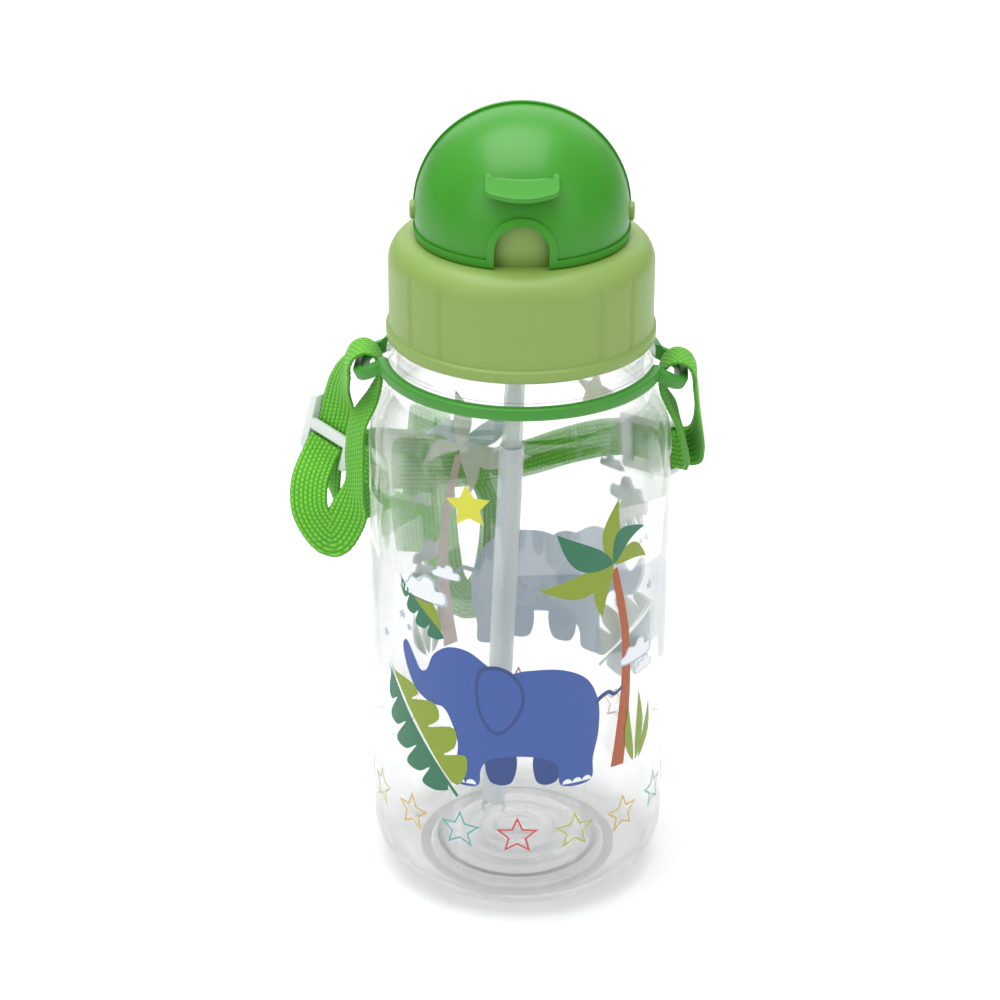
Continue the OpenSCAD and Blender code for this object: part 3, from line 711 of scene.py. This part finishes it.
# %% Turned drinking parts
Z, DECK_LOW, RIM_Z = CAP_TOP, 162.669, 160.569
spout_line = rounded([(2.6, Z + 0.6, 0.1), (8.4, Z + 0.6, 0.2), (8.4, Z + 2.6, 0.4),
                      (6.2, Z + 3.4, 0.8), (6.2, Z + 6, 1), (5.6, Z + 9, 3), (4.7, Z + 21, 3),
                      (5.3, Z + 23, 0.8), (5.3, Z + 24.8, 0.8), (4.2, Z + 26, 0.8),
                      (2.0, Z + 26, 0.4), (2.0, Z + 24.5, 0.4), (2.6, Z + 23, 0.6)])
piece("soft_spout", *turned(spout_line, 96), "cap", "silicone", SOFT, ("spout",), 50)
seal_line = rounded([(25.3, RIM_Z + 0.4, 0.2), (25.7, RIM_Z, 0.2), (27.9, RIM_Z, 0.2),
                     (28.3, RIM_Z + 0.4, 0.2), (28.3, DECK_LOW, 0.1), (25.3, DECK_LOW, 0.1)])
piece("cap_seal_ring", *turned(seal_line, 128), "cap_seal", "silicone", SOFT, ("cap_gasket",))
valve_at = Matrix.Translation((0, 13, 0))
valve_line = rounded([(0, DECK_LOW - 1.6, 0), (1.2, DECK_LOW - 1.6, 0.3), (2.3, DECK_LOW - 0.6, 0.3),
                      (2.3, DECK_LOW, 0.1), (1.55, DECK_LOW, 0.1), (1.55, Z, 0.1), (3, Z, 0.1),
                      (2.6, Z + 0.8, 0.3), (0, Z + 0.8, 0)])
piece("vent_valve", *turned(valve_line, 48, closed=False, place=valve_at), "cap", "silicone", SOFT,
      ("vent_valve",))

PIVOT = Vector((0, 0, DECK_LOW - 2))
LEAN = math.radians(2.3)
LEANING = (Matrix.Translation(PIVOT) @ Matrix.Rotation(LEAN, 4, "Y")
           @ Matrix.Translation(-PIVOT))
STRAW_R, STRAW_BORE, SPIGOT_R = 2.95, 2.45, 2.42
STRAW_FOOT, STRAW_TOP = 9, Z - 54
plug_line = rounded([(1.62, Z + 0.6, 0.1), (5.95, Z + 0.6, 0.2), (5.95, DECK_LOW, 0.1),
                     (8.4, DECK_LOW, 0.1), (8.4, DECK_LOW - 1.6, 0.3), (1.62, DECK_LOW - 1.6, 0.1)])
tube_line = rounded([(SPIGOT_R, DECK_LOW - 1.2, 0), (SPIGOT_R, 111.4, 0), (SPIGOT_R - 0.3, Z - 60, 0.1),
                     (1.62, Z - 60, 0.1), (1.62, DECK_LOW - 1.2, 0)])
piece("straw_socket", *joined(turned(plug_line, 96), turned(tube_line, 64, place=LEANING)), "cap",
      "clear_fitting", SOCKET, ("straw_socket",), 50)
straw_line = rounded([(STRAW_R, STRAW_FOOT, 0.1), (STRAW_R, STRAW_TOP, 0.2),
                      (STRAW_BORE, STRAW_TOP, 0.2), (STRAW_BORE, STRAW_FOOT, 0.1)])
straw = solid("straw", *turned(straw_line, 64))
slant = Matrix.Translation((-5, -STRAW_R - 1, STRAW_FOOT - 1.5)) @ Matrix.Rotation(math.radians(35), 4, "X")
combine(straw, block((0, 0, 0), (10, 8, 3), slant), "DIFFERENCE")
straw.data.transform(Matrix.Scale(MM, 4) @ LEANING @ Matrix.Scale(1 / MM, 4))
finished(straw, "cap", STRAW, ("straw",), 50)


# %% [markdown]
# ## The carrier ring and the adjusters
# The ring is one moulding: a blunt square rod that turns loosely between the neck's beads,
# with a sloping slotted ear on each side. The adjusters are small milky three-bar buckles.

# %% Ring
RING_IN, RING_W, RING_H, RING_Z = 31.1, 2.6, 3.0, 132.369
EAR_LEN, EAR_WALL, SLOT_HALF = 8.6, 2.4, 5.8
RING_TURN, EAR_DROP = math.radians(-3), math.radians(26)
rod = [(RING_IN, RING_Z, 0.9), (RING_IN + RING_W, RING_Z, 0.9),
       (RING_IN + RING_W, RING_Z + RING_H, 0.9), (RING_IN, RING_Z + RING_H, 0.9)]
ring = solid("carrier_ring", *turned(rounded(rod, 5), 192))
EARS = [Matrix.Rotation(RING_TURN + turn, 4, "Z")
        @ Matrix.Translation((RING_IN, 0, RING_Z + RING_H / 2)) @ Matrix.Rotation(EAR_DROP, 4, "Y")
        for turn in (0, math.pi)]
side_y = SLOT_HALF + EAR_WALL
ear_line = ([(0, 0.4 - side_y), (0, side_y - 0.4)] + arc(EAR_LEN - 5, side_y - 5, 5, 90, 0, 12)
            + arc(EAR_LEN - 5, 5 - side_y, 5, 0, -90, 12))
for ear in EARS:
    combine(ring, softened(prism(ear_line, -RING_H / 2, RING_H / 2, ear), 0.7, 3, 50), "UNION")
bore = [(0, RING_Z - 9), (RING_IN, RING_Z - 9), (RING_IN, RING_Z + 21), (0, RING_Z + 21)]
combine(ring, solid("bore", *turned(bore, 192, closed=False)), "DIFFERENCE")
slot_line = rounded([(-6, -SLOT_HALF, 0), (EAR_LEN - EAR_WALL, -SLOT_HALF, 1.2),
                     (EAR_LEN - EAR_WALL, SLOT_HALF, 1.2), (-6, SLOT_HALF, 0)])
for ear in EARS:
    combine(ring, prism(slot_line, -4, 4, ear), "DIFFERENCE")
softened(ring, 0.35, 2, 40)
finished(ring, "carrier", RING, ("carrier_ring",), 45)

# %% Adjusters
ADJ_LEN, RAIL, BAR, BAR_T, FIT = 15.0, 1.9, 2.8, 1.1, 0.35


def adjuster(name, place, flip):
    d = Vector(place[1]).normalized()
    w = Vector(place[2])
    w = (w - w.dot(d) * d).normalized()
    h = d.cross(w)
    at = Matrix((d, w, h)).transposed().to_4x4()
    at.translation = Vector(place[0])
    rail_y, bar_z, half = 5 + FIT, 0.65 + FIT, ADJ_LEN / 2
    rail_line = rounded([(-half, rail_y, 0.3), (half, rail_y, 0.3),
                         (half, rail_y + RAIL, 1.6), (-half, rail_y + RAIL, 1.6)], 6)
    obj = prism(rail_line, -bar_z - BAR_T, bar_z + BAR_T, at)
    obj.name = name + "_buckle"
    other = [(x, -y) for x, y in reversed(rail_line)]
    combine(obj, prism(other, -bar_z - BAR_T, bar_z + BAR_T, at), "UNION")
    end = half - BAR / 2 - 0.15
    for x, side in ((-end, -flip), (0, flip), (end, -flip)):
        low, high = sorted((side * bar_z, side * (bar_z + BAR_T - 0.1)))
        combine(obj, block((x - BAR / 2, -rail_y - 0.5, low), (x + BAR / 2, rail_y + 0.5, high), at),
                "UNION")
    softened(obj, 0.3, 2, 40)
    return finished(obj, "carrier", MILK, (name,), 45)


adjuster("adjuster_left", ((-45.3, 10, 109.8), (-0.22, 0.1, -0.97), (-0.78, 0.58, 0.24)), -1)
adjuster("adjuster_right", ((32, 23.6, 101), (-0.72, 0.69, -0.1), (-0.07, 0.07, 0.99)), 1)


# %% [markdown]
# ## The printed pattern
# A print is a skin of ink: bright seen from outside, and paler from inside, where its white
# undercoat shows. Each motif is drawn flat in millimetres, then wrapped on the wall as a very
# thin plate, with a pale plate under it. Wrapping needs points every millimetre or so across,
# so each shape is sliced into narrow strips first.

# %% Drawing tools
BODY_R, INK = 36.0, 0.035


def smooth(points, steps=6, closed=True):
    """A Catmull-Rom curve through listed points."""
    p = [np.array(q, float) for q in points]
    n, out = len(p), []
    for i in range(n if closed else n - 1):
        if closed:
            a, b, c, d = p[i - 1], p[i], p[(i + 1) % n], p[(i + 2) % n]
        else:
            a, b, c, d = p[max(i - 1, 0)], p[i], p[i + 1], p[min(i + 2, n - 1)]
        for k in range(steps):
            t = k / steps
            out.append(0.5 * (2 * b + (c - a) * t + (2 * a - 5 * b + 4 * c - d) * t * t
                              + (3 * b - a - 3 * c + d) * t ** 3))
    return out if closed else out + [p[-1]]


def blade(base, tip, width, bend=0.0, steps=12):
    """A leaf from base to tip: widest in the middle and bent sideways by a share of its length."""
    base, tip = np.array(base, float), np.array(tip, float)
    along = tip - base
    side = np.array([-along[1], along[0]]) / np.linalg.norm(along)
    t = np.linspace(0, 1, steps + 1)
    middle = base + t[:, None] * along + (bend * np.linalg.norm(along) * np.sin(np.pi * t))[:, None] * side
    half = (width / 2 * np.sin(np.pi * t ** 0.8))[:, None] * side
    return list((middle + half)[:-1]) + list((middle - half)[:0:-1])


def band(points, start, end, steps=5):
    """A stroke along a smooth open curve, start wide at one end and end wide at the other."""
    stroke = np.array(smooth(points, steps, closed=False))
    d = np.gradient(stroke, axis=0)
    d /= np.linalg.norm(d, axis=1)[:, None]
    half = np.linspace(start, end, len(stroke))[:, None] / 2 * np.stack([-d[:, 1], d[:, 0]], 1)
    return list(stroke + half) + list((stroke - half)[::-1])


def wrapped(name, shapes, colour, lift, slices=1.2):
    """Closed thin plates of the shapes on the body's wall; each shape is (outline, layer)."""
    work = bmesh.new()
    for outline, layer in shapes:
        made = [work.verts.new((u, 0, z)) for u, z in outline]
        fills = tessellate_polygon([[Vector((u, z, 0)) for u, z in outline]])
        tris = [f for f in fills if len(set(f)) == 3]
        faces = [work.faces.new([made[i] for i in f]) for f in tris]
        us = [u for u, _ in outline]
        for cut_u in np.arange(math.floor(min(us)) + 0.6, max(us), slices):
            part = [*faces, *{e for f in faces for e in f.edges}, *{v for f in faces for v in f.verts}]
            cut = bmesh.ops.bisect_plane(work, geom=part, plane_co=(cut_u, 0, 0), plane_no=(1, 0, 0))
            faces = [g for g in cut["geom"] if isinstance(g, bmesh.types.BMFace)]
        top = bmesh.ops.extrude_face_region(work, geom=faces)
        low = lift + 2 * INK * layer
        verts = {v for f in faces for v in f.verts}
        raised = [g for g in top["geom"] if isinstance(g, bmesh.types.BMVert)]
        for v in verts:
            v.co.y = low
        for v in raised:
            v.co.y = low + INK
    for v in work.verts:
        a, r = v.co.x / BODY_R, BODY_R + v.co.y
        v.co = Vector((r * math.sin(a), -r * math.cos(a), v.co.z)) * MM
    mesh = bpy.data.meshes.new(name)
    work.to_mesh(mesh)
    work.free()
    return finished(placed(name, mesh), "root", colour, sharp=60)


def shrunk(outline, across, up, middle=None):
    """The same outline made smaller about a middle, or about the mean of its points."""
    x, z = middle or [np.mean([p[k] for p in outline]) for k in (0, 1)]
    return [(x + across * (u - x), z + up * (v - z)) for u, v in outline]


def star(u, z, r, inner=0.45, turn=0.0):
    out = []
    for k in range(10):
        a = math.pi / 2 + turn + math.pi * k / 5
        q = r if k % 2 == 0 else r * inner
        out.append((u + q * math.cos(a), z + q * math.sin(a)))
    return out


print("drawing tools ready")


# %% [markdown]
# ## The motifs
# A calm four-legged animal, a palm, big leaves, stars and clouds: plain nursery shapes. Each
# ink colour becomes one piece. The whole group is printed twice, the second time on the far
# side, where it shows through the clear wall in its pale undercoat colours.

# %% Motif outlines
FEET_Z = 38.0
beast = smooth([(-15.2, 0), (-9.6, 0), (-8.8, 4.5), (-6.5, 7.6), (0, 8.8), (6, 8), (9.5, 5.5),
                (10.6, 0), (18, 0), (18.6, 6), (20, 13), (19.8, 21), (16.5, 28), (10, 31.6),
                (2, 32), (-4, 30.6), (-7.4, 33), (-12, 36), (-17, 36), (-21, 33), (-23, 28.4),
                (-25, 27.6), (-27, 30.6), (-29.4, 33.8), (-30.8, 31.8), (-29.4, 26.6),
                (-26.4, 21.8), (-22, 19.6), (-18.4, 19.4), (-16.2, 16), (-14.6, 11), (-15, 5)])
far_legs = [smooth([(-6.6, 1.6), (-1.4, 1.6), (-0.6, 9.4), (-7.4, 9)]),
            smooth([(4.6, 1.6), (9.4, 1.6), (10.2, 9), (4, 9.2)])]
ear_shape = smooth([(-9.6, 31), (-5, 33), (-0.4, 30.4), (1.6, 24.6), (-0.4, 18.4), (-4.4, 14.4),
                    (-8, 16.8), (-10, 23)])
ear_fill = shrunk(ear_shape, 0.86, 0.88, (-4.3, 24))
tail = band([(19, 21), (22.4, 22.6), (24.6, 21.4), (27, 22.6)], 1.3, 0.8)
toes = [arc(u, 0.2, 1.25, 0, 180, 8) for u in (-14, -11.2, 12, 14.5, 17)]
at_feet = lambda outline: [(u, v + FEET_Z) for u, v in outline]

trunk_line = [(26, 39), (27.4, 50), (28.2, 62), (27.4, 76), (23.6, 93)]
palm_trunk = band(trunk_line, 4.2, 1.9)
crown = (23.2, 94.5)
palm_teal = [blade(crown, (8.5, 105), 6.4, 0.1), blade(crown, (33.5, 101), 5, 0.3)]
palm_leaf = [blade(crown, (4.5, 91), 6.2, 0.12), blade(crown, (24.4, 111), 5, 0.08),
             blade(crown, (20.5, 81), 4.2, -0.14), blade(crown, (34.6, 92.5), 4.4, 0.22)]
grass = [blade((31.5, 38), (29.4, 54), 2.6, 0.06), blade((32.5, 38), (33, 57), 2.8, -0.05),
         blade((33.5, 38), (37.6, 52), 2.6, -0.08)]


def half_leaf(base, tip, width, cuts, side):
    """Half of a big cut leaf: its edge runs out and in again at each cut."""
    base, tip = np.array(base, float), np.array(tip, float)
    along = tip - base
    out = side * np.array([-along[1], along[0]]) / np.linalg.norm(along)
    edge = [base]
    for k in range(cuts):
        for t, share in ((0.04, 0.75), (0.42, 1.0), (0.74, 0.95), (0.92, 0.3)):
            u = (k + t) / cuts
            full = width * math.sin(math.pi * min(1, 0.1 + 0.9 * u)) ** 0.6
            edge.append(base + along * (u * 0.98 - 0.04 * share) + out * full * share)
    return smooth(edge + [tip, (base + tip) / 2], 3)


big_left = half_leaf((-17.2, 36.8), (-36.5, 61.6), 9.2, 5, 1)
big_right = half_leaf((-16.2, 37.6), (-35.4, 62.4), 9.4, 4, -1)
big_stem = band([(-14.6, 34), (-18, 38.4), (-28, 51), (-35.4, 61.4)], 0.9, 0.3)
low_leaf = half_leaf((-18.4, 77), (-31.6, 88.4), 4.6, 4, 1)
low_leaf_two = blade((-18.8, 76.6), (-31.8, 85.4), 4.8, -0.18)


def cloud(u, z, w):
    return smooth([(u + w * a, z + w * b) for a, b in (
        (-0.5, 0), (-0.56, 0.14), (-0.4, 0.24), (-0.3, 0.4), (-0.1, 0.36), (0.04, 0.52),
        (0.24, 0.46), (0.3, 0.26), (0.48, 0.26), (0.54, 0.08), (0.44, -0.02), (0, -0.03))], 4)


clouds = [cloud(-24, 84.5, 13), cloud(-17.5, 92, 7), cloud(32, 66, 11), cloud(35, 62, 7)]
inner_clouds = [shrunk(c, 0.9, 0.84) for c in clouds]
small_stars = [star(-31, 78, 1.5), star(-28.5, 75.5, 1.2), star(36.5, 84, 1.6), star(-38, 70, 1.4)]

# %% Inks
def ink(name, colour, under):
    """Screen-printed ink: an even film with a faint mottle and slightly soft gloss."""
    made = []
    for label, c in ((name, colour), (name + "_under", under)):
        f = Finish("ink_" + label, Coat_Weight=0.1)
        mottle = f.noise(420, 3)
        f.set("Base Color", f.mix(mottle, paint(*[v * 0.97 for v in c]), paint(*c)))
        f.set("Roughness", f.swing(0.32, 0.46, mottle))
        f.bump(f.noise(2200, 1), 0.00002, 0.3)
        made.append(f)
    return made


INKS = {"blue": ink("blue", (54, 87, 160), (176, 196, 212)),
        "deep_blue": ink("deep_blue", (40, 68, 130), (164, 184, 204)),
        "orange": ink("orange", (172, 84, 38), (210, 184, 172)),
        "teal": ink("teal", (30, 112, 78), (164, 194, 188)),
        "leaf": ink("leaf", (134, 156, 26), (198, 210, 182)),
        "yellow": ink("yellow", (214, 214, 60), (222, 226, 190)),
        "white": ink("white", (238, 242, 246), (226, 230, 236)),
        "grey": ink("grey", (176, 190, 206), (196, 204, 214))}
MOTIFS = [("blue", [at_feet(beast)], 1), ("deep_blue", [at_feet(s) for s in far_legs], 0),
          ("deep_blue", [at_feet(ear_shape)], 2), ("blue", [at_feet(ear_fill)], 3),
          ("deep_blue", [at_feet(tail)], 1), ("white", [at_feet(t) for t in toes], 2),
          ("orange", [palm_trunk], 0), ("teal", palm_teal, 2), ("leaf", palm_leaf, 1),
          ("leaf", grass, 2), ("teal", [big_left], 2), ("leaf", [big_right], 3),
          ("teal", [big_stem], 4), ("leaf", [low_leaf_two], 1), ("teal", [low_leaf], 2),
          ("yellow", [star(-11.9, 111.5, 5.6, 0.5, 0.1)], 2), ("grey", clouds, 1),
          ("white", inner_clouds, 2), ("grey", small_stars, 1)]
BACK_SHIFT = math.radians(168) * BODY_R

for colour, finishes in INKS.items():
    shapes = [([(u + shift, v) for u, v in outline], layer)
              for name, outlines, layer in MOTIFS if name == colour
              for outline in outlines for shift in (0, BACK_SHIFT)]
    wrapped("print_" + colour, shapes, finishes[0], 0.055)
    wrapped("print_" + colour + "_under", shapes, finishes[1], 0.012)

# %% [markdown]
# ## The ring of stars
# Sixteen outlined stars run round the body near the base. They repeat, so a geometry node
# tree places one star along a line as long as the body's circumference, and then wraps the
# line round the wall. Wrapping is one Set Position node with a little trigonometry.

# %% A node tree for the stars
def star_tree(finish):
    tree, add, join = begun("star_ring", Star="Object", Count="Int", Spacing="Float",
                            Start="Float", Radius="Float")
    given = add("NodeGroupInput")

    def maths(operation, a, b=None):
        made = add("ShaderNodeMath")
        made.operation = operation
        for socket, value in zip(made.inputs, (a, b)):
            if isinstance(value, (int, float)):
                socket.default_value = value
            elif value is not None:
                join(value, socket)
        return made.outputs[0]

    row = add("GeometryNodeMeshLine")
    join(given.outputs["Count"], row.inputs["Count"])
    for node, vector, key in ((add("ShaderNodeCombineXYZ"), "Start Location", "Start"),
                              (add("ShaderNodeCombineXYZ"), "Offset", "Spacing")):
        join(given.outputs[key], node.inputs["X"])
        join(node.outputs[0], row.inputs[vector])
    shape, copies = add("GeometryNodeObjectInfo"), add("GeometryNodeInstanceOnPoints")
    join(given.outputs["Star"], shape.inputs["Object"])
    join(row.outputs[0], copies.inputs["Points"])
    join(shape.outputs["Geometry"], copies.inputs["Instance"])
    real, bend = add("GeometryNodeRealizeInstances"), add("GeometryNodeSetPosition")
    join(copies.outputs[0], real.inputs[0])
    join(real.outputs[0], bend.inputs["Geometry"])
    here, split, wrap = add("GeometryNodeInputPosition"), add("ShaderNodeSeparateXYZ"), \
        add("ShaderNodeCombineXYZ")
    join(here.outputs[0], split.inputs[0])
    turn = maths("DIVIDE", split.outputs[0], given.outputs["Radius"])
    out = maths("ADD", split.outputs[1], given.outputs["Radius"])
    join(maths("MULTIPLY", maths("SINE", turn), out), wrap.inputs["X"])
    join(maths("MULTIPLY", maths("MULTIPLY", maths("COSINE", turn), out), -1.0), wrap.inputs["Y"])
    join(split.outputs[2], wrap.inputs["Z"])
    join(wrap.outputs[0], bend.inputs["Position"])
    return ended(tree, bend.outputs["Geometry"], finish)


# %% Stars in four colours
STAR_Z, STAR_R, STAR_LINE, STAR_COUNT = 24.6, 5.3, 0.55, 16
big, small = star(0, STAR_Z, STAR_R), star(0, STAR_Z, STAR_R - STAR_LINE * 2)
points, faces = [], []
for depth in (0.0, INK):
    for outline in (big, small):
        for a, b in zip(outline, outline[1:] + outline[:1]):
            points += [(a[0] + (b[0] - a[0]) * t / 4, 0.03 + depth, a[1] + (b[1] - a[1]) * t / 4)
                       for t in range(4)]
per = len(points) // 4
for i in range(per):
    j = (i + 1) % per
    faces += [(i, j, per + j, per + i), (2 * per + i, 3 * per + i, 3 * per + j, 2 * per + j),
              (i, 2 * per + i, 2 * per + j, j), (per + i, per + j, 3 * per + j, 3 * per + i)]
one_star = solid("one_star", points, faces)
STAR_INKS = {"red": (0, (204, 60, 62)), "gold": (2, (214, 178, 74)), "teal": (3, (96, 172, 172)),
             "olive": (1, (178, 186, 70))}
for name, (offset, colour) in STAR_INKS.items():
    finish, _ = ink("star_" + name, colour, colour)
    count = STAR_COUNT // 4
    step = 2 * math.pi * BODY_R * MM / count
    ring_of_stars = from_tree("stars_" + name, star_tree(finish),
                              {"Star": one_star, "Count": count, "Spacing": step,
                               "Start": offset * step / 4, "Radius": BODY_R * MM})
    finished(ring_of_stars, "root", finish, sharp=60)
bpy.data.objects.remove(one_star)


# %% [markdown]
# ## Floor and light
# A white table under wide soft lights gives the even, nearly shadowless light that clear
# plastic needs. Darker grey bands at the sides of the surroundings draw its edges.

# %% Floor
bpy.ops.mesh.primitive_plane_add(size=8, location=(0, 0, 0))
floor = bpy.context.object
floor.name = "floor"
FLOOR = Finish("floor", Roughness=0.7)
FLOOR.set("Base Color", FLOOR.mix(FLOOR.noise(3, 2), paint(246, 246, 247), paint(250, 250, 250)))
floor.data.materials.append(FLOOR.material)

# %% Surroundings and lamps
world = bpy.data.worlds.new("studio")
scene.world = world
world.use_nodes = True
sky = world.node_tree
background = sky.nodes["Background"]
direction, height = sky.nodes.new("ShaderNodeTexCoord"), sky.nodes.new("ShaderNodeSeparateXYZ")
bands = sky.nodes.new("ShaderNodeValToRGB")
sky.links.new(direction.outputs["Generated"], height.inputs[0])
sky.links.new(height.outputs["Z"], bands.inputs[0])
bands.color_ramp.elements[0].color = (0.50, 0.51, 0.52, 1)
bands.color_ramp.elements[1].position, bands.color_ramp.elements[1].color = 0.55, (1, 1, 1, 1)
sky.links.new(bands.outputs[0], background.inputs[0])
background.inputs[1].default_value = 0.62


def lamp(name, at, size, power, target=(0, 0, 0.1)):
    data = bpy.data.lights.new(name, "AREA")
    data.shape, data.size, data.size_y, data.energy = "RECTANGLE", size[0], size[1], power
    facing = (Vector(at) - Vector(target)).to_track_quat("Z", "Y").to_matrix().to_4x4()
    placed(name, data).matrix_world = Matrix.Translation(at) @ facing


lamp("top", (-0.1, 0.0, 1.1), (1.0, 1.0), 11)
lamp("front_left", (-0.9, -0.9, 0.7), (0.7, 0.9), 2.6)
lamp("front_right", (0.9, -0.7, 0.5), (0.5, 0.9), 1.4)
lamp("behind", (0.0, 1.1, 0.6), (1.4, 0.8), 3.0)
scene.view_settings.view_transform = "Standard"
print("light", scene.view_settings.view_transform)
